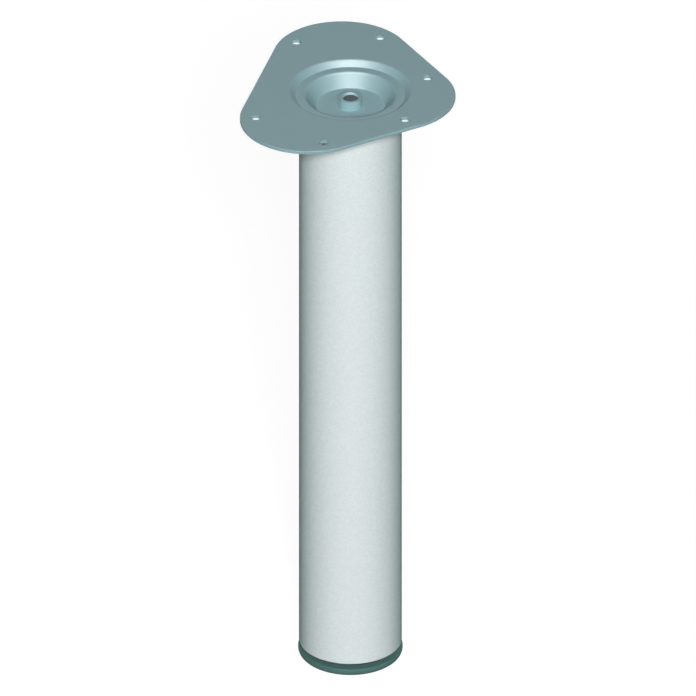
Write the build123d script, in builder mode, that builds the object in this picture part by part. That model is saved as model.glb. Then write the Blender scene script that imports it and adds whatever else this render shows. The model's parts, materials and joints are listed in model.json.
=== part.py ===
"""Round tubular table leg with a screw-on corner plate and a levelling foot.

Millimetres, +Z up. The origin is on the tube's axis at the floor, and +X points at the plate's
right-angled corner.
"""

import os
from math import cos, radians, sin

from build123d import *

# Leg
overall_height = 378.0
tube_d = 60.0
tube_wall = 1.5
tube_edge_break = 0.3

# Sheet of the mounting plate
sheet = 2.0
bend_r = 0.5
sheet_edge_r = 0.35

# Outline of the plate: three equal corner arcs, one right-angled corner and two wings
corner_r = 40.0
nose_x = 22.1
wing_step = 37.4
screw_hole_d = 5.5
screw_inset = 9.3
nose_hole_angle = 55.0
wing_hole_angles = (58.2, 164.5)

# Dish: a bevel down to the ring that seats on the tube, then a cone down to the floor
seat_margin = 2.0
seat_depth = 3.2
bevel_run = 3.4
cone_run = 6.4
floor_depth = 10.5
dish_land = 5.0

# Threads are plain cylinders at their outside diameter
thread_d = 10.0
thread_clearance = 0.05
thread_chamfer = 0.8
nut_flats = 17.0
nut_height = 8.0
hex_chamfer_run = 1.0
hex_chamfer_drop = 0.6

# Collar in the dish
bush_d = 14.0
bush_height = 5.65
bush_shank_d = 12.0
bush_flare_d = 15.0
bush_flare_height = 1.0
bush_edge_r = 0.3
bush_mouth_chamfer = 0.2

# Bolt, nut and cup in the tube's top
stud_recess = 0.95
stud_nut_gap = 2.5
bolt_head_height = 6.4
bolt_hole_clearance = 0.3
cup_sheet = 2.5
cup_skirt = 14.0
cup_clearance = 0.1

# Pad on the floor
pad_overhang = 0.5
pad_height = 5.0
pad_top_edge_r = 0.5
pad_floor_edge_r = 3.5
foot_gap = 3.4
sole = 1.6
flange_d = 17.0
flange_height = 1.6
flange_clearance = 0.1
neck_d = 9.0
neck_clearance = 0.15

# Levelling spindle
level_travel = 20.0
thread_spare = 4.0
stop_gap = 0.3

# Plug in the tube's lower end
plug_recess = 0.2
plug_height = 26.0
plug_disc = 3.0
plug_wall = 2.0
plug_clearance = 0.05
hub_wall = 2.4
pocket_clearance = 0.1
web_count = 6
web_thickness = 2.0
grip_count = 3
grip_height = 2.0
grip_depth = 0.7

# Levels, worked out from the sizes above
pad_top = pad_height
tube_bottom = pad_top + foot_gap
plug_bottom = tube_bottom + plug_recess
plug_top = plug_bottom + plug_height
plate_top = overall_height
plate_under = plate_top - sheet
tube_top = plate_top - seat_depth - sheet
floor_top = plate_top - floor_depth
floor_under = floor_top - sheet
bush_top = floor_top + bush_height
bush_bottom = floor_under - bush_flare_height
stud_top = bush_top - stud_recess
stud_nut_bottom = bush_bottom - stud_nut_gap - nut_height
cup_under = stud_nut_bottom - cup_sheet

# Radii
tube_r = tube_d / 2
bore_r = tube_r - tube_wall
female_r = thread_d / 2
male_r = female_r - thread_clearance
hex_corner_r = nut_flats / 2 / cos(radians(30))


def hexagon(bottom, height):
    """Hexagon blank with its corners turned off at both ends, as on a bolt head or a nut."""
    top = bottom + height
    flat_r = hex_corner_r - hex_chamfer_run
    with BuildPart() as blank:
        with BuildSketch(Plane.XY.offset(bottom)):
            RegularPolygon(nut_flats / 2, 6, major_radius=False)
        extrude(amount=height)
        with BuildSketch(Plane.XZ):
            with BuildLine():
                Polyline(
                    (0, bottom),
                    (flat_r, bottom),
                    (hex_corner_r, bottom + hex_chamfer_drop),
                    (hex_corner_r, top - hex_chamfer_drop),
                    (flat_r, top),
                    (0, top),
                    close=True,
                )
            make_face()
        revolve(axis=Axis.Z, mode=Mode.INTERSECT)
    return blank.part


def tapped_nut(bottom):
    """Hexagon nut with its bore chamfered at both mouths."""
    blank = hexagon(bottom, nut_height)
    with BuildPart() as nut:
        add(blank)
        with Locations((0, 0, bottom + nut_height)):
            Hole(radius=female_r, depth=nut_height)
        chamfer(nut.edges().filter_by(GeomType.CIRCLE).group_by(SortBy.RADIUS)[0], thread_chamfer)
    return nut.part


# Pressed plate: the flat sheet with its outline, then the dish pressed into it
seat_out_r = tube_r + seat_margin
seat_in_r = bore_r - seat_margin
mouth_r = seat_out_r + bevel_run
floor_r = seat_in_r - cone_run
dish_rim_r = mouth_r + dish_land
wing_x = nose_x - wing_step
screw_circle_r = corner_r - screw_inset
screw_turns = [(nose_x, 0, nose_hole_angle)]
screw_turns += [(wing_x, wing_step, angle) for angle in wing_hole_angles]
screw_places = []
for corner_x, corner_y, angle in screw_turns:
    screw_x = corner_x + screw_circle_r * cos(radians(angle))
    screw_y = corner_y + screw_circle_r * sin(radians(angle))
    screw_places += [(screw_x, screw_y), (screw_x, -screw_y)]

with BuildPart() as mounting_plate:
    with BuildSketch(Plane.XY.offset(plate_under)):
        with BuildLine():
            CenterArc((nose_x, 0), corner_r, 0, 360)
            CenterArc((wing_x, wing_step), corner_r, 0, 360)
            CenterArc((wing_x, -wing_step), corner_r, 0, 360)
        make_hull()
    extrude(amount=sheet)
    rims = mounting_plate.edges().group_by(Axis.Z)
    fillet(rims[0] + rims[-1], sheet_edge_r)
    with Locations((0, 0, plate_top)):
        Hole(radius=dish_rim_r, depth=sheet)
    with BuildSketch(Plane.XZ):
        with BuildLine():
            dish_line = FilletPolyline(
                (dish_rim_r, plate_top),
                (mouth_r, plate_top),
                (seat_out_r, plate_top - seat_depth),
                (seat_in_r, plate_top - seat_depth),
                (floor_r, floor_top),
                (bush_shank_d / 2, floor_top),
                radius=(bend_r + sheet, bend_r, bend_r + sheet, bend_r),
            )
            offset(dish_line, sheet, side=Side.LEFT)
        make_face()
    revolve(axis=Axis.Z)
    with Locations(Plane.XY.offset(plate_top)):
        with Locations(*screw_places):
            Hole(radius=screw_hole_d / 2, depth=sheet)

# Tapped collar: its shoulder sits on the dish's floor and its shank is riveted over underneath
with BuildPart() as threaded_bush:
    with BuildSketch(Plane.XZ):
        with BuildLine():
            Polyline(
                (female_r, bush_bottom),
                (bush_flare_d / 2, bush_bottom),
                (bush_flare_d / 2, floor_under),
                (bush_shank_d / 2, floor_under),
                (bush_shank_d / 2, floor_top),
                (bush_d / 2, floor_top),
                (bush_d / 2, bush_top),
                (female_r, bush_top),
                close=True,
            )
        make_face()
    revolve(axis=Axis.Z)
    mouth = threaded_bush.edges().group_by(Axis.Z)[-1].sort_by(SortBy.RADIUS)
    chamfer(mouth[0], bush_mouth_chamfer)
    fillet(mouth[-1], bush_edge_r)

# Straight tube with broken edges
with BuildPart() as leg_tube:
    with BuildSketch(Plane.XY.offset(tube_bottom)):
        Circle(tube_r)
        Circle(bore_r, mode=Mode.SUBTRACT)
    extrude(amount=tube_top - tube_bottom)
    chamfer(leg_tube.edges().filter_by(GeomType.CIRCLE), tube_edge_break)

# Pressed cup that carries the bolt inside the tube
cup_r = bore_r - cup_clearance
with BuildPart() as stud_cup:
    with BuildSketch(Plane.XZ):
        with BuildLine():
            cup_line = FilletPolyline(
                (male_r + bolt_hole_clearance, stud_nut_bottom),
                (cup_r, stud_nut_bottom),
                (cup_r, stud_nut_bottom - cup_skirt),
                radius=bend_r + cup_sheet,
            )
            offset(cup_line, cup_sheet, side=Side.RIGHT)
        make_face()
    revolve(axis=Axis.Z)

# Hexagon-head bolt that stands up through the cup into the collar
bolt_head = hexagon(cup_under - bolt_head_height, bolt_head_height)
with BuildPart() as leg_stud:
    add(bolt_head)
    with BuildSketch(Plane.XY.offset(cup_under)):
        Circle(male_r)
    extrude(amount=stud_top - cup_under)
    chamfer(leg_stud.edges().group_by(Axis.Z)[-1], thread_chamfer)

stud_nut = tapped_nut(stud_nut_bottom)

# Ribbed plug: end disc, sleeve with grip rings, hub with the nut's pocket, and webs between them
plug_r = bore_r - plug_clearance
sleeve_r = plug_r - grip_depth
hub_r = hex_corner_r + pocket_clearance + hub_wall
web_length = sleeve_r - plug_wall / 2 - hub_r + hub_wall / 2
web_middle = hub_r - hub_wall / 2 + web_length / 2
grip_pitch = plug_height / (grip_count + 1)
with BuildPart() as foot_plug:
    with BuildSketch(Plane.XY.offset(plug_bottom)):
        Circle(plug_r)
    extrude(amount=plug_disc)
    with BuildSketch(Plane.XY.offset(plug_bottom)):
        Circle(sleeve_r)
        Circle(sleeve_r - plug_wall, mode=Mode.SUBTRACT)
        Circle(hub_r)
        with PolarLocations(web_middle, web_count):
            Rectangle(web_length, web_thickness)
    extrude(amount=plug_height)
    for ring in range(grip_count):
        with BuildSketch(Plane.XY.offset(plug_bottom + (ring + 1) * grip_pitch)):
            Circle(plug_r)
            Circle(sleeve_r - plug_wall / 2, mode=Mode.SUBTRACT)
        extrude(amount=grip_height)
    with BuildSketch(Plane.XY.offset(plug_bottom)):
        RegularPolygon(nut_flats / 2 + pocket_clearance, 6, major_radius=False)
    extrude(amount=nut_height, mode=Mode.SUBTRACT)
    with Locations((0, 0, plug_top)):
        Hole(radius=female_r + bolt_hole_clearance, depth=plug_height)

foot_nut = tapped_nut(plug_bottom)

# Levelling spindle: flange held in the pad, neck, spanner hexagon in the gap, threaded shank
flange_bottom = sole + flange_clearance
spanner_bottom = pad_top + flange_clearance
spanner_height = plug_bottom - stop_gap - spanner_bottom
spindle_top = plug_bottom + nut_height + level_travel + thread_spare
spanner_hexagon = hexagon(spanner_bottom, spanner_height)
with BuildPart() as foot_spindle:
    with BuildSketch(Plane.XY.offset(flange_bottom)):
        Circle(flange_d / 2)
    extrude(amount=flange_height)
    with BuildSketch(Plane.XY.offset(flange_bottom)):
        Circle(neck_d / 2)
    extrude(amount=spanner_bottom - flange_bottom)
    add(spanner_hexagon)
    with BuildSketch(Plane.XY.offset(spanner_bottom)):
        Circle(male_r)
    extrude(amount=spindle_top - spanner_bottom)
    chamfer(foot_spindle.edges().group_by(Axis.Z)[-1], thread_chamfer)

# Plastic pad moulded round the spindle's flange, with a plain flat sole
pad_r = tube_r + pad_overhang
pocket_r = flange_d / 2 + neck_clearance
pocket_top = flange_bottom + flange_height + flange_clearance
with BuildPart() as foot_pad:
    with BuildSketch(Plane.XZ):
        with BuildLine():
            Polyline(
                (0, 0),
                (pad_r, 0),
                (pad_r, pad_top),
                (neck_d / 2 + neck_clearance, pad_top),
                (neck_d / 2 + neck_clearance, pocket_top),
                (pocket_r, pocket_top),
                (pocket_r, sole),
                (0, sole),
                close=True,
            )
        make_face()
    revolve(axis=Axis.Z)
    outer_edges = foot_pad.edges().filter_by(GeomType.CIRCLE).group_by(SortBy.RADIUS)[-1].sort_by(Axis.Z)
    fillet(outer_edges[0], pad_floor_edge_r)
    fillet(outer_edges[-1], pad_top_edge_r)

pieces = {
    "mounting_plate": mounting_plate.part,
    "threaded_bush": threaded_bush.part,
    "leg_tube": leg_tube.part,
    "stud_cup": stud_cup.part,
    "leg_stud": leg_stud.part,
    "stud_nut": stud_nut,
    "foot_plug": foot_plug.part,
    "foot_nut": foot_nut,
    "foot_spindle": foot_spindle.part,
    "foot_pad": foot_pad.part,
}

os.makedirs("parts", exist_ok=True)
for name, piece in pieces.items():
    piece.label = name
    export_step(piece, f"parts/{name}.step")
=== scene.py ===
"""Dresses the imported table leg: cut threads, coatings and mouldings, and a plain studio around it.

Everything is in metres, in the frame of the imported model: the floor is at zero, the tube's axis is
the Z axis, and +X points at the right-angled corner of the mounting plate.
"""

import json
from math import ceil, cos, floor, hypot, pi, radians, sin, tan

import bpy
from bpy.props import FloatProperty, FloatVectorProperty, IntProperty, PointerProperty
from bpy.types import Operator, Panel, PropertyGroup
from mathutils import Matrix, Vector


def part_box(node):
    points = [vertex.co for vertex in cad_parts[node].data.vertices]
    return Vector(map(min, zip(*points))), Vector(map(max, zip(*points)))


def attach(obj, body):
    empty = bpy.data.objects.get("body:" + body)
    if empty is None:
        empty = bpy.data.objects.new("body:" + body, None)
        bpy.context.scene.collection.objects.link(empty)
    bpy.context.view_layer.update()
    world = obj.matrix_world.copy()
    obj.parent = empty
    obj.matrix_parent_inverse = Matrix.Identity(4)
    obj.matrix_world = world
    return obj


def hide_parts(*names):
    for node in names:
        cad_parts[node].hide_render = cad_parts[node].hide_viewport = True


bl_info = {
    "name": "Tubular Table Leg",
    "version": (1, 0, 0),
    "blender": (4, 5, 0),
    "location": "3D View > Sidebar > Table Leg",
    "description": "Dresses a tubular table leg with threads, coatings and a studio",
    "category": "Object",
}

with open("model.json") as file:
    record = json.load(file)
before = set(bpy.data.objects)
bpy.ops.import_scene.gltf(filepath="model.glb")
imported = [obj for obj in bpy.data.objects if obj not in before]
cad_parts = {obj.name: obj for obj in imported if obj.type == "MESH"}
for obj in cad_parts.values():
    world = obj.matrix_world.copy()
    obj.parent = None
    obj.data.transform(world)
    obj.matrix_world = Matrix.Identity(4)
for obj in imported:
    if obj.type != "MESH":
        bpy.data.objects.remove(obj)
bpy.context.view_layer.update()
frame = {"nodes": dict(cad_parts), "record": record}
MM = 0.001
# Points nearer than this count as one.
POINT_GAP = 0.001 * MM
# Faces that meet at less than this are shaded as one.
SMOOTH_ANGLE = radians(30)
# Slope of a metric thread's flanks.
FLANK_ANGLE = radians(30)
THREAD_PITCH = 2 * pi / frame["record"]["behaviour"]["couplings"][0]["ratio"]


def linear(hex_colour):
    """Linear RGBA of an sRGB colour written as #rrggbb."""
    shares = [int(hex_colour[place:place + 2], 16) / 255 for place in (1, 3, 5)]
    return [c / 12.92 if c <= 0.04045 else ((c + 0.055) / 1.055) ** 2.4 for c in shares] + [1.0]


def length(name, description, default):
    """A length that a user may change."""
    return FloatProperty(
        name=name, description=description, default=default, min=0.0, unit="LENGTH", precision=5
    )


def colour(name, description, hex_colour):
    """A colour that a user may change."""
    return FloatVectorProperty(
        name=name,
        description=description,
        default=linear(hex_colour),
        size=4,
        min=0.0,
        max=1.0,
        subtype="COLOR",
    )


def angle(name, description, degrees):
    """An angle that a user may change."""
    return FloatProperty(
        name=name, description=description, default=radians(degrees), subtype="ANGLE"
    )


def power(name, description, watts):
    """A lamp's power that a user may change."""
    return FloatProperty(name=name, description=description, default=watts, min=0.0, unit="POWER")


class LegThreads(PropertyGroup):
    """Sizes of the M10 threads, which are all in step with each other."""

    pitch: length("Pitch", "Rise of the thread in one turn", THREAD_PITCH)
    bolt_crest: length("Bolt crest", "Radius over a bolt's thread", 4.95 * MM)
    bolt_root: length("Bolt root", "Radius in the groove of a bolt's thread", 4.03 * MM)
    nut_crest: length("Nut crest", "Radius inside a nut's thread", 4.19 * MM)
    nut_root: length("Nut root", "Radius in the groove of a nut's thread", 5.0 * MM)
    lead_in: length("Lead-in", "Chamfer at the end of a bolt's thread", 0.8 * MM)
    mouth: length("Mouth", "How far a nut's countersink is wider than its thread", 0.2 * MM)
    steps: IntProperty(name="Steps", description="Faces in one turn", default=72, min=24, max=256)


class LegTurnings(PropertyGroup):
    """Sizes of the turned and hexagon pieces, apart from their threads."""

    flats: length("Across flats", "Width of a hexagon between its flats", 17.0 * MM)
    corner_run: length("Corner run", "How far in a hexagon's corners are turned off", 1.0 * MM)
    corner_drop: length("Corner drop", "How far down a hexagon's corners are turned off", 0.6 * MM)
    head_height: length("Bolt head", "Height of the bolt's head", 6.4 * MM)
    collar_radius: length("Collar radius", "Radius of the collar above the dish's floor", 7.0 * MM)
    collar_height: length("Collar height", "Height of the collar above the dish's floor", 5.65 * MM)
    collar_edge: length("Collar edge", "Rounding of the collar's upper edge", 0.3 * MM)
    shank_radius: length("Shank radius", "Radius of the collar inside the sheet", 6.0 * MM)
    flare_radius: length("Flare radius", "Radius of the collar's riveted end", 7.5 * MM)
    flare_height: length("Flare height", "Height of the collar's riveted end", 1.0 * MM)
    flange_radius: length("Flange radius", "Radius of the spindle's flange in the pad", 8.5 * MM)
    flange_height: length("Flange height", "Height of the spindle's flange", 1.6 * MM)
    neck_radius: length("Neck radius", "Radius of the spindle's neck", 4.5 * MM)
    neck_height: length("Neck height", "From the flange's underside to the hexagon", 3.4 * MM)
    spanner_height: length("Spanner hexagon", "Height of the spindle's hexagon", 3.2 * MM)
    steps: IntProperty(
        name="Steps", description="Faces round a turning", default=96, min=24, max=256
    )


class LegFinishes(PropertyGroup):
    """Colours of the finishes."""

    enamel: colour("Enamel", "Blue-grey enamel on the mounting plate and its collar", "#8CAEB4")
    powder: colour("Powder coat", "Silver powder coat on the tube", "#F5F4F6")
    lacquer: colour("Lacquer", "Clear lacquer over the powder coat", "#F1FAF9")
    steel: colour("Bare steel", "Pressed steel of the cup inside the tube", "#B9BDBF")
    oxide: colour("Black oxide", "Black oxide on the bolt", "#27363A")
    zinc: colour("Zinc", "Bright zinc on the nuts and the spindle", "#CBD1D5")
    plug: colour("Plug", "Black plastic of the plug in the tube", "#232728")
    pad: colour("Pad", "Slate-green plastic of the foot pad", "#597E7A")


class LegStudio(PropertyGroup):
    """Camera, lamps and floor."""

    azimuth: angle("Azimuth", "Turn of the camera round the leg", 15)
    elevation: angle("Elevation", "Height of the camera above the horizon", 30)
    view_width: length("View width", "Width of the picture at the leg", 405.83 * MM)
    aim_height: length("Aim height", "Height of the middle of the picture", 204.1 * MM)
    aim_shift: length("Aim shift", "From the tube's axis left to the picture's middle", 1.4 * MM)
    floor_size: length("Floor size", "Width of the floor", 8.0)
    key_power: power("Key lamp", "Power of the soft lamp beside the camera", 620.0)
    gloss_power: power("Gloss lamp", "Power of the high front lamp, seen only as gloss", 340.0)
    back_power: power("Back lamp", "Power of the soft lamp behind the leg", 60.0)
    ambient: FloatProperty(
        name="Ambient", description="Even light from all round", default=0.015, min=0.0
    )


# Modelling steps


def take(piece):
    """Selects one piece and nothing else."""
    bpy.ops.object.select_all(action="DESELECT")
    piece.select_set(True)
    bpy.context.view_layer.objects.active = piece


def draw_line(name, points):
    """New object with a line drawn through points of radius and height, in the XZ plane."""
    bpy.ops.object.select_all(action="DESELECT")
    bpy.ops.mesh.primitive_plane_add(size=MM)
    piece = bpy.context.object
    piece.name = name
    bpy.ops.object.mode_set(mode="EDIT")
    bpy.ops.mesh.merge(type="CENTER")
    bpy.ops.transform.translate(value=(points[0][0], 0, points[0][1]))
    for (radius, height), (next_radius, next_height) in zip(points, points[1:]):
        step = (next_radius - radius, 0, next_height - height)
        bpy.ops.mesh.extrude_vertices_move(TRANSFORM_OT_translate={"value": step})
    bpy.ops.object.mode_set(mode="OBJECT")
    return piece


def mend(piece):
    """Merges doubled points and turns the faces outwards."""
    take(piece)
    bpy.ops.object.mode_set(mode="EDIT")
    bpy.ops.mesh.select_all(action="SELECT")
    bpy.ops.mesh.remove_doubles(threshold=POINT_GAP)
    bpy.ops.mesh.normals_make_consistent(inside=False)
    bpy.ops.object.mode_set(mode="OBJECT")


def turn(name, points, steps):
    """Solid turned about the Z axis from a line that starts and ends on the axis."""
    piece = draw_line(name, points)
    bpy.ops.object.mode_set(mode="EDIT")
    bpy.ops.mesh.select_all(action="SELECT")
    bpy.ops.mesh.spin(steps=steps, angle=2 * pi, center=(0, 0, 0), axis=(0, 0, 1))
    bpy.ops.object.mode_set(mode="OBJECT")
    mend(piece)
    return piece


def combine(piece, tool, operation):
    """Joins a tool to a piece, cuts it out or keeps what they share, and removes the tool."""
    take(piece)
    bpy.ops.object.modifier_add(type="BOOLEAN")
    modifier = piece.modifiers[-1]
    modifier.operation = operation
    modifier.solver = "EXACT"
    modifier.object = tool
    bpy.ops.object.modifier_apply(modifier=modifier.name)
    bpy.data.objects.remove(tool)


def hexagon(name, bottom, top):
    """Hexagon bar with its corners turned off at both ends."""
    sizes = bpy.context.scene.leg_turnings
    half_side = pi / 6
    corner = sizes.flats / 2 / cos(half_side)
    end = corner - sizes.corner_run
    bpy.ops.object.select_all(action="DESELECT")
    bpy.ops.mesh.primitive_cylinder_add(
        vertices=6,
        radius=corner,
        depth=top - bottom,
        location=(0, 0, (bottom + top) / 2),
        rotation=(0, 0, half_side),
    )
    piece = bpy.context.object
    piece.name = name
    bpy.ops.object.transform_apply(location=True, rotation=True, scale=True)
    blank = [
        (0, bottom),
        (end, bottom),
        (corner, bottom + sizes.corner_drop),
        (corner, top - sizes.corner_drop),
        (end, top),
        (0, top),
    ]
    combine(piece, turn("corner_blank", blank, sizes.steps), "INTERSECT")
    return piece


def thread(name, bottom, top, crest, root):
    """Rod with a right-hand thread, cut square at both ends.

    Every rod has a crest towards +X at each whole pitch above the floor, so that a bolt is in step
    with its nut. The crest is an eighth of the pitch wide. The helix starts a turn too low and ends
    too high, so that both ends can be cut off.
    """
    sizes = bpy.context.scene.leg_threads
    pitch = sizes.pitch
    crest_half = pitch / 16
    flank = (crest - root) * tan(FLANK_ANGLE)
    start = (floor(bottom / pitch) - 1) * pitch
    spare_turns = 2
    ridge = [
        (root, start - pitch / 2),
        (root, start - crest_half - flank),
        (crest, start - crest_half),
        (crest, start + crest_half),
        (root, start + crest_half + flank),
        (root, start + pitch / 2),
    ]
    piece = draw_line(name, ridge)
    bpy.ops.object.modifier_add(type="SCREW")
    screw = piece.modifiers[-1]
    screw.axis = "Z"
    screw.angle = 2 * pi
    screw.screw_offset = pitch
    screw.iterations = ceil((top - start) / pitch) + spare_turns
    screw.steps = sizes.steps
    screw.render_steps = sizes.steps
    screw.use_merge_vertices = True
    screw.merge_threshold = POINT_GAP
    bpy.ops.object.modifier_apply(modifier=screw.name)
    mend(piece)
    bpy.ops.object.mode_set(mode="EDIT")
    for level, is_bottom in ((bottom, True), (top, False)):
        bpy.ops.mesh.select_all(action="SELECT")
        bpy.ops.mesh.bisect(
            plane_co=(0, 0, level),
            plane_no=(0, 0, 1),
            use_fill=True,
            clear_inner=is_bottom,
            clear_outer=not is_bottom,
            threshold=POINT_GAP,
        )
    bpy.ops.object.mode_set(mode="OBJECT")
    mend(piece)
    return piece


def bolt_thread(name, bottom, top):
    """Threaded shank with a lead-in at its upper end."""
    sizes = bpy.context.scene.leg_threads
    piece = thread(name, bottom, top, sizes.bolt_crest, sizes.bolt_root)
    spare = sizes.lead_in
    blank = [
        (0, bottom - spare),
        (sizes.bolt_crest + spare, bottom - spare),
        (sizes.bolt_crest + spare, top - sizes.lead_in - spare),
        (sizes.bolt_crest - sizes.lead_in, top),
        (0, top),
    ]
    combine(piece, turn("lead_in_blank", blank, sizes.steps), "INTERSECT")
    return piece


def tap(piece, bottom, top):
    """Bores a piece right through, countersinks both mouths and cuts its thread."""
    sizes = bpy.context.scene.leg_threads
    spare = sizes.lead_in
    sink = sizes.nut_root + sizes.mouth - sizes.nut_crest
    bore = [
        (0, bottom - spare),
        (sizes.nut_crest + sink + spare, bottom - spare),
        (sizes.nut_crest, bottom + sink),
        (sizes.nut_crest, top - sink),
        (sizes.nut_crest + sink + spare, top + spare),
        (0, top + spare),
    ]
    combine(piece, turn("bore_tool", bore, sizes.steps), "DIFFERENCE")
    groove = thread("tap_tool", bottom - spare, top + spare, sizes.nut_root, sizes.bolt_root)
    combine(piece, groove, "DIFFERENCE")


def round_edge(piece, radius, height, rounding):
    """Rounds the circular edge of that radius and height."""
    take(piece)
    bpy.ops.object.mode_set(mode="EDIT")
    bpy.ops.mesh.select_mode(type="EDGE")
    bpy.ops.mesh.select_all(action="DESELECT")
    bpy.ops.object.mode_set(mode="OBJECT")
    near = 0.01 * MM
    faces_across = 5
    for edge in piece.data.edges:
        ends = [piece.data.vertices[place].co for place in edge.vertices]
        edge.select = all(
            abs(hypot(point.x, point.y) - radius) < near and abs(point.z - height) < near
            for point in ends
        )
    bpy.ops.object.mode_set(mode="EDIT")
    bpy.ops.mesh.bevel(offset=rounding, segments=faces_across)
    bpy.ops.mesh.select_mode(type="VERT")
    bpy.ops.object.mode_set(mode="OBJECT")


def hand_over(piece, node, body, material):
    """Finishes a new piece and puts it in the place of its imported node."""
    mend(piece)
    bpy.ops.object.shade_smooth_by_angle(angle=SMOOTH_ANGLE)
    piece.data.materials.clear()
    piece.data.materials.append(material)
    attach(piece, body)
    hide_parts(node)


def coat(node, material):
    """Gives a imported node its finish."""
    for slot in frame["nodes"][node].material_slots:
        slot.material = material


# Finishes


def add_node(tree, kind, settings, inputs):
    """Adds a node with its own settings, and sets or links its inputs."""
    node = tree.nodes.new(kind)
    for name, value in settings.items():
        setattr(node, name, value)
    for name, value in inputs.items():
        if isinstance(value, bpy.types.NodeSocket):
            tree.links.new(value, node.inputs[name])
        else:
            node.inputs[name].default_value = value
    return node


def empty_tree(owner):
    """Node tree of a material or a world, with nothing in it yet."""
    owner.use_nodes = True
    owner.node_tree.nodes.clear()
    return owner.node_tree


def new_finish(name):
    """New material, its tree and the object's coordinates in it."""
    material = bpy.data.materials.new(name)
    tree = empty_tree(material)
    place = add_node(tree, "ShaderNodeTexCoord", {}, {}).outputs["Object"]
    return material, tree, place


def shades(base, share):
    """A colour made darker and made lighter by a share of itself."""
    darker = [c * (1 - share) for c in base[:3]] + [1.0]
    lighter = [min(1.0, c * (1 + share)) for c in base[:3]] + [1.0]
    return darker, lighter


def stove_enamel(base):
    """Stove enamel on pressed sheet: an even satin colour, with a soft bright line along each bend.

    Rolled sheet leaves broad faint clouds of tone, and the enamel has a fine peel.
    """
    material, tree, place = new_finish("stove_enamel")
    cloud_size = 35 * MM
    peel_size = 1.4 * MM
    peel_depth = 0.004 * MM
    darker, lighter = shades(base, share=0.03)
    clouds = add_node(tree, "ShaderNodeTexNoise", {}, {"Vector": place, "Scale": 1 / cloud_size})
    tone = add_node(
        tree,
        "ShaderNodeMixRGB",
        {},
        {"Fac": clouds.outputs["Fac"], "Color1": darker, "Color2": lighter},
    )
    peel = add_node(tree, "ShaderNodeTexNoise", {}, {"Vector": place, "Scale": 1 / peel_size})
    bump = add_node(
        tree, "ShaderNodeBump", {}, {"Height": peel.outputs["Fac"], "Distance": peel_depth}
    )
    shader = add_node(
        tree,
        "ShaderNodeBsdfPrincipled",
        {},
        {
            "Base Color": tone.outputs["Color"],
            "Roughness": 0.45,
            "IOR": 1.5,
            "Specular IOR Level": 0.25,
            "Normal": bump.outputs["Normal"],
        },
    )
    add_node(tree, "ShaderNodeOutputMaterial", {}, {"Surface": shader.outputs["BSDF"]})
    return material


def powder_coat(base, lacquer):
    """Silver powder coat: a soft matt sheen that falls off round the tube, broken by fine flake.

    The clear lacquer over it has a faint blue-green cast, which deepens where the tube turns away
    and the eye looks through more of it. Its IOR is low, so that it adds no gloss of its own.
    Real flakes are under 0.1 mm, so they are drawn at 0.9 mm to show at all.
    """
    material, tree, place = new_finish("silver_powder_coat")
    flake_size = 0.9 * MM
    peel_size = 2.2 * MM
    peel_depth = 0.006 * MM
    darker, lighter = shades(base, share=0.035)
    flakes = add_node(tree, "ShaderNodeTexVoronoi", {}, {"Vector": place, "Scale": 1 / flake_size})
    chance = add_node(tree, "ShaderNodeSeparateColor", {}, {"Color": flakes.outputs["Color"]})
    tone = add_node(
        tree,
        "ShaderNodeMixRGB",
        {},
        {"Fac": chance.outputs["Red"], "Color1": darker, "Color2": lighter},
    )
    gloss = add_node(
        tree,
        "ShaderNodeMapRange",
        {},
        {"Value": chance.outputs["Green"], "To Min": 0.5, "To Max": 0.62},
    )
    peel = add_node(tree, "ShaderNodeTexNoise", {}, {"Vector": place, "Scale": 1 / peel_size})
    bump = add_node(
        tree, "ShaderNodeBump", {}, {"Height": peel.outputs["Fac"], "Distance": peel_depth}
    )
    shader = add_node(
        tree,
        "ShaderNodeBsdfPrincipled",
        {},
        {
            "Base Color": tone.outputs["Color"],
            "Roughness": gloss.outputs["Result"],
            "IOR": 1.5,
            "Specular IOR Level": 0.015,
            "Coat Weight": 1.0,
            "Coat Roughness": 0.6,
            "Coat IOR": 1.02,
            "Coat Tint": lacquer,
            "Normal": bump.outputs["Normal"],
        },
    )
    add_node(tree, "ShaderNodeOutputMaterial", {}, {"Surface": shader.outputs["BSDF"]})
    return material


def drawn_steel(base):
    """Bare deep-drawn steel: dull grey metal with faint lines along the draw.

    Real draw lines are under 0.1 mm wide, so they are drawn at 0.6 mm to show at all.
    """
    material, tree, place = new_finish("drawn_steel")
    line_width = 0.6 * MM
    line_length = 12 * MM
    darker, lighter = shades(base, share=0.08)
    along = add_node(
        tree,
        "ShaderNodeMapping",
        {},
        {"Vector": place, "Scale": (1 / line_width, 1 / line_width, 1 / line_length)},
    )
    lines = add_node(
        tree, "ShaderNodeTexNoise", {}, {"Vector": along.outputs["Vector"], "Scale": 1.0}
    )
    tone = add_node(
        tree,
        "ShaderNodeMixRGB",
        {},
        {"Fac": lines.outputs["Fac"], "Color1": darker, "Color2": lighter},
    )
    gloss = add_node(
        tree,
        "ShaderNodeMapRange",
        {},
        {"Value": lines.outputs["Fac"], "To Min": 0.38, "To Max": 0.55},
    )
    shader = add_node(
        tree,
        "ShaderNodeBsdfPrincipled",
        {},
        {
            "Base Color": tone.outputs["Color"],
            "Metallic": 1.0,
            "Roughness": gloss.outputs["Result"],
        },
    )
    add_node(tree, "ShaderNodeOutputMaterial", {}, {"Surface": shader.outputs["BSDF"]})
    return material


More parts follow.
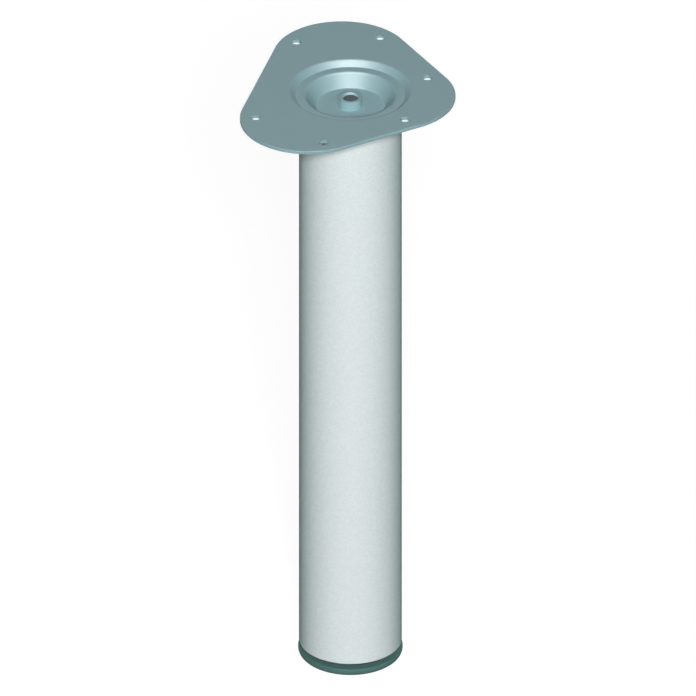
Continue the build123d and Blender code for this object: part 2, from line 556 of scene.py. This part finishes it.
def black_oxide(base):
    """Black oxide on a rolled thread: dark oily metal, with patches where the oil lies thicker."""
    material, tree, place = new_finish("black_oxide_steel")
    patch_size = 2.5 * MM
    darker, lighter = shades(base, share=0.15)
    patches = add_node(tree, "ShaderNodeTexNoise", {}, {"Vector": place, "Scale": 1 / patch_size})
    tone = add_node(
        tree,
        "ShaderNodeMixRGB",
        {},
        {"Fac": patches.outputs["Fac"], "Color1": darker, "Color2": lighter},
    )
    gloss = add_node(
        tree,
        "ShaderNodeMapRange",
        {},
        {"Value": patches.outputs["Fac"], "To Min": 0.35, "To Max": 0.55},
    )
    shader = add_node(
        tree,
        "ShaderNodeBsdfPrincipled",
        {},
        {
            "Base Color": tone.outputs["Color"],
            "Metallic": 0.6,
            "Roughness": gloss.outputs["Result"],
        },
    )
    add_node(tree, "ShaderNodeOutputMaterial", {}, {"Surface": shader.outputs["BSDF"]})
    return material


def bright_zinc(base):
    """Bright zinc plate: clean bluish metal with a soft mirror and a faint crystal mottle.

    Real crystals are too fine to see, so they are drawn at 1.2 mm to show at all.
    """
    material, tree, place = new_finish("bright_zinc_plate")
    crystal_size = 1.2 * MM
    darker, lighter = shades(base, share=0.05)
    crystals = add_node(
        tree, "ShaderNodeTexVoronoi", {}, {"Vector": place, "Scale": 1 / crystal_size}
    )
    chance = add_node(tree, "ShaderNodeSeparateColor", {}, {"Color": crystals.outputs["Color"]})
    tone = add_node(
        tree,
        "ShaderNodeMixRGB",
        {},
        {"Fac": chance.outputs["Red"], "Color1": darker, "Color2": lighter},
    )
    gloss = add_node(
        tree,
        "ShaderNodeMapRange",
        {},
        {"Value": chance.outputs["Green"], "To Min": 0.24, "To Max": 0.34},
    )
    shader = add_node(
        tree,
        "ShaderNodeBsdfPrincipled",
        {},
        {
            "Base Color": tone.outputs["Color"],
            "Metallic": 1.0,
            "Roughness": gloss.outputs["Result"],
        },
    )
    add_node(tree, "ShaderNodeOutputMaterial", {}, {"Surface": shader.outputs["BSDF"]})
    return material


def moulded_plastic(name, base, grain_size):
    """Moulded polypropylene: a soft waxy gloss over the fine grain that the mould's wall leaves.

    Flow in the mould gives broad faint streaks of tone. Real grain is about 0.2 mm, so it is drawn
    coarser, at the given size, to show at all.
    """
    material, tree, place = new_finish(name)
    streak_size = 14 * MM
    grain_depth = 0.012 * MM
    darker, lighter = shades(base, share=0.05)
    streaks = add_node(
        tree,
        "ShaderNodeTexNoise",
        {},
        {"Vector": place, "Scale": 1 / streak_size, "Distortion": 0.6},
    )
    tone = add_node(
        tree,
        "ShaderNodeMixRGB",
        {},
        {"Fac": streaks.outputs["Fac"], "Color1": darker, "Color2": lighter},
    )
    grain = add_node(tree, "ShaderNodeTexNoise", {}, {"Vector": place, "Scale": 1 / grain_size})
    bump = add_node(
        tree, "ShaderNodeBump", {}, {"Height": grain.outputs["Fac"], "Distance": grain_depth}
    )
    shader = add_node(
        tree,
        "ShaderNodeBsdfPrincipled",
        {},
        {
            "Base Color": tone.outputs["Color"],
            "Roughness": 0.5,
            "IOR": 1.49,
            "Specular IOR Level": 0.03,
            "Normal": bump.outputs["Normal"],
        },
    )
    add_node(tree, "ShaderNodeOutputMaterial", {}, {"Surface": shader.outputs["BSDF"]})
    return material


def seen_rays(tree):
    """1 for rays that show a surface, straight, mirrored or through glass, and 0 for its light."""
    rays = add_node(tree, "ShaderNodeLightPath", {}, {})
    shown = add_node(
        tree,
        "ShaderNodeMath",
        {"operation": "MAXIMUM"},
        {0: rays.outputs["Is Camera Ray"], 1: rays.outputs["Is Glossy Ray"]},
    )
    through = add_node(
        tree,
        "ShaderNodeMath",
        {"operation": "MAXIMUM"},
        {0: shown.outputs["Value"], 1: rays.outputs["Is Transmission Ray"]},
    )
    return through.outputs["Value"]


def floor_paper():
    """Pale studio paper: it shows white with the leg's soft shadow, and is clear from below."""
    material = bpy.data.materials.new("studio_paper")
    tree = empty_tree(material)
    paper_grey = linear("#707070")
    glow_share = 0.92
    paper = add_node(tree, "ShaderNodeBsdfDiffuse", {}, {"Color": paper_grey})
    glow_strength = add_node(
        tree, "ShaderNodeMath", {"operation": "MULTIPLY"}, {0: seen_rays(tree), 1: glow_share}
    )
    glow = add_node(tree, "ShaderNodeEmission", {}, {"Strength": glow_strength.outputs["Value"]})
    both = add_node(
        tree, "ShaderNodeAddShader", {}, {0: paper.outputs["BSDF"], 1: glow.outputs["Emission"]}
    )
    clear = add_node(tree, "ShaderNodeBsdfTransparent", {}, {})
    side = add_node(tree, "ShaderNodeNewGeometry", {}, {})
    mix = add_node(
        tree,
        "ShaderNodeMixShader",
        {},
        {"Fac": side.outputs["Backfacing"], 1: both.outputs["Shader"], 2: clear.outputs["BSDF"]},
    )
    add_node(tree, "ShaderNodeOutputMaterial", {}, {"Surface": mix.outputs["Shader"]})
    return material


def towards(azimuth, elevation):
    """Direction from the leg at an azimuth and an elevation, where azimuth 0 is -Y."""
    return Vector((sin(azimuth) * cos(elevation), -cos(azimuth) * cos(elevation), sin(elevation)))


def looking_back(outwards):
    """Turn of a lamp or a camera that stands in a direction from the leg and looks back at it."""
    return (-outwards).to_track_quat("-Z", "Y").to_euler()


# Operators


class TABLELEG_OT_coat_plate(Operator):
    """Enamel the pressed mounting plate"""

    bl_idname = "table_leg.coat_plate"
    bl_label = "Coat Mounting Plate"

    def execute(self, context):
        coat("mounting_plate", stove_enamel(context.scene.leg_finishes.enamel))
        return {"FINISHED"}


class TABLELEG_OT_make_collar(Operator):
    """Turn and tap the collar that is riveted into the plate's dish"""

    bl_idname = "table_leg.make_collar"
    bl_label = "Make Tapped Collar"

    def execute(self, context):
        sizes = context.scene.leg_turnings
        low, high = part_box("threaded_bush")
        shoulder = high.z - sizes.collar_height
        sheet_under = low.z + sizes.flare_height
        outline = [
            (0, low.z),
            (sizes.flare_radius, low.z),
            (sizes.flare_radius, sheet_under),
            (sizes.shank_radius, sheet_under),
            (sizes.shank_radius, shoulder),
            (sizes.collar_radius, shoulder),
            (sizes.collar_radius, high.z),
            (0, high.z),
        ]
        collar = turn("tapped_collar", outline, sizes.steps)
        round_edge(collar, sizes.collar_radius, high.z, sizes.collar_edge)
        tap(collar, low.z, high.z)
        enamel = bpy.data.materials["stove_enamel"]
        hand_over(collar, "threaded_bush", "leg", enamel)
        return {"FINISHED"}


class TABLELEG_OT_coat_tube(Operator):
    """Powder coat the tube and leave the cup inside it bare"""

    bl_idname = "table_leg.coat_tube"
    bl_label = "Coat Tube and Cup"

    def execute(self, context):
        finishes = context.scene.leg_finishes
        coat("leg_tube", powder_coat(finishes.powder, finishes.lacquer))
        coat("stud_cup", drawn_steel(finishes.steel))
        return {"FINISHED"}


class TABLELEG_OT_make_bolt(Operator):
    """Make the hexagon-head bolt that stands up into the collar"""

    bl_idname = "table_leg.make_bolt"
    bl_label = "Make Leg Bolt"

    def execute(self, context):
        sizes = context.scene.leg_turnings
        low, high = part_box("leg_stud")
        head_top = low.z + sizes.head_height
        bolt = hexagon("leg_bolt", low.z, head_top)
        shank = bolt_thread("bolt_shank", head_top - sizes.corner_drop, high.z)
        combine(bolt, shank, "UNION")
        oxide = black_oxide(context.scene.leg_finishes.oxide)
        hand_over(bolt, "leg_stud", "leg", oxide)
        return {"FINISHED"}


class TABLELEG_OT_make_nuts(Operator):
    """Make the nut on the bolt and the nut in the plug"""

    bl_idname = "table_leg.make_nuts"
    bl_label = "Make Nuts"

    def execute(self, context):
        zinc = bright_zinc(context.scene.leg_finishes.zinc)
        for node in ("stud_nut", "foot_nut"):
            low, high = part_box(node)
            nut = hexagon(f"tapped_{node}", low.z, high.z)
            tap(nut, low.z, high.z)
            hand_over(nut, node, "leg", zinc)
        return {"FINISHED"}


class TABLELEG_OT_make_spindle(Operator):
    """Make the levelling spindle with its flange, neck, spanner hexagon and thread"""

    bl_idname = "table_leg.make_spindle"
    bl_label = "Make Levelling Spindle"

    def execute(self, context):
        sizes = context.scene.leg_turnings
        low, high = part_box("foot_spindle")
        spanner_low = low.z + sizes.neck_height
        spanner_high = spanner_low + sizes.spanner_height
        spanner_middle = (spanner_low + spanner_high) / 2
        foot = [
            (0, low.z),
            (sizes.flange_radius, low.z),
            (sizes.flange_radius, low.z + sizes.flange_height),
            (sizes.neck_radius, low.z + sizes.flange_height),
            (sizes.neck_radius, spanner_middle),
            (0, spanner_middle),
        ]
        spindle = turn("levelling_spindle", foot, sizes.steps)
        combine(spindle, hexagon("spanner_hexagon", spanner_low, spanner_high), "UNION")
        combine(spindle, bolt_thread("spindle_shank", spanner_middle, high.z), "UNION")
        zinc = bpy.data.materials["bright_zinc_plate"]
        hand_over(spindle, "foot_spindle", "spindle", zinc)
        return {"FINISHED"}


class TABLELEG_OT_mould_foot(Operator):
    """Give the plug and the foot pad their moulded plastics"""

    bl_idname = "table_leg.mould_foot"
    bl_label = "Mould Plug and Pad"

    def execute(self, context):
        finishes = context.scene.leg_finishes
        black = moulded_plastic("black_polypropylene", finishes.plug, grain_size=0.8 * MM)
        coat("foot_plug", black)
        green = moulded_plastic("slate_green_polypropylene", finishes.pad, grain_size=1.1 * MM)
        coat("foot_pad", green)
        return {"FINISHED"}


class TABLELEG_OT_set_studio(Operator):
    """Set the floor, the even light, the lamps and the camera"""

    bl_idname = "table_leg.set_studio"
    bl_label = "Set Studio"

    def execute(self, context):
        studio = context.scene.leg_studio
        context.scene.view_settings.view_transform = "Standard"

        bpy.ops.object.select_all(action="DESELECT")
        bpy.ops.mesh.primitive_plane_add(size=studio.floor_size)
        paper = context.object
        paper.name = "studio_floor"
        paper.data.materials.append(floor_paper())

        world = bpy.data.worlds.new("studio_world")
        context.scene.world = world
        tree = empty_tree(world)
        white = linear("#FFFFFF")
        strength = add_node(
            tree,
            "ShaderNodeMapRange",
            {},
            {"Value": seen_rays(tree), "To Min": studio.ambient, "To Max": 1.0},
        )
        air = add_node(
            tree,
            "ShaderNodeBackground",
            {},
            {"Color": white, "Strength": strength.outputs["Result"]},
        )
        add_node(tree, "ShaderNodeOutputWorld", {}, {"Surface": air.outputs["Background"]})

        side = Vector((cos(studio.azimuth), sin(studio.azimuth), 0))
        aim = Vector((0, 0, studio.aim_height)) - side * studio.aim_shift
        # Each lamp's name, turn from the camera, elevation, distance, width and power.
        lamps = (
            ("key_lamp", radians(2), radians(31), 8.0, 1.2, studio.key_power),
            ("gloss_lamp", 0, radians(74), 2.2, 1.6, studio.gloss_power),
            ("back_lamp", pi, radians(2), 3.0, 0.8, studio.back_power),
        )
        for name, turned, elevation, distance, width, watts in lamps:
            outwards = towards(studio.azimuth + turned, elevation)
            bpy.ops.object.light_add(
                type="AREA",
                location=aim + outwards * distance,
                rotation=looking_back(outwards),
            )
            lamp = context.object
            lamp.name = name
            lamp.data.energy = watts
            lamp.data.size = width
            lamp.visible_camera = False
        # Highlights come from the gloss lamp alone, so that the others don't glare in the plate.
        bpy.data.objects["key_lamp"].visible_glossy = False
        bpy.data.objects["gloss_lamp"].visible_diffuse = False
        bpy.data.objects["back_lamp"].visible_glossy = False

        camera_distance = 2.0
        outwards = towards(studio.azimuth, studio.elevation)
        bpy.ops.object.camera_add(
            location=aim + outwards * camera_distance, rotation=looking_back(outwards)
        )
        camera = context.object
        camera.name = "studio_camera"
        camera.data.type = "ORTHO"
        camera.data.ortho_scale = studio.view_width
        context.scene.camera = camera
        return {"FINISHED"}


class TABLELEG_PT_sidebar(Panel):
    """Sizes, finishes and steps of the table leg"""

    bl_idname = "TABLELEG_PT_sidebar"
    bl_label = "Table Leg"
    bl_space_type = "VIEW_3D"
    bl_region_type = "UI"
    bl_category = "Table Leg"

    def draw(self, context):
        scene = context.scene
        for step in STEPS:
            self.layout.operator(step.bl_idname)
        for group in (scene.leg_threads, scene.leg_turnings, scene.leg_finishes, scene.leg_studio):
            box = self.layout.box()
            for name in group.__annotations__:
                box.prop(group, name)


STEPS = (
    TABLELEG_OT_coat_plate,
    TABLELEG_OT_make_collar,
    TABLELEG_OT_coat_tube,
    TABLELEG_OT_make_bolt,
    TABLELEG_OT_make_nuts,
    TABLELEG_OT_make_spindle,
    TABLELEG_OT_mould_foot,
    TABLELEG_OT_set_studio,
)
GROUPS = {
    "leg_threads": LegThreads,
    "leg_turnings": LegTurnings,
    "leg_finishes": LegFinishes,
    "leg_studio": LegStudio,
}
CLASSES = (*GROUPS.values(), *STEPS, TABLELEG_PT_sidebar)


def register():
    for kind in CLASSES:
        bpy.utils.register_class(kind)
    for name, group in GROUPS.items():
        setattr(bpy.types.Scene, name, PointerProperty(type=group))


def unregister():
    for name in GROUPS:
        delattr(bpy.types.Scene, name)
    for kind in reversed(CLASSES):
        bpy.utils.unregister_class(kind)


def main():
    """Registers the add-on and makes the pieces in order."""
    register()
    bpy.ops.table_leg.coat_plate()
    bpy.ops.table_leg.make_collar()
    bpy.ops.table_leg.coat_tube()
    bpy.ops.table_leg.make_bolt()
    bpy.ops.table_leg.make_nuts()
    bpy.ops.table_leg.make_spindle()
    bpy.ops.table_leg.mould_foot()
    bpy.ops.table_leg.set_studio()


if __name__ == "__main__":
    main()
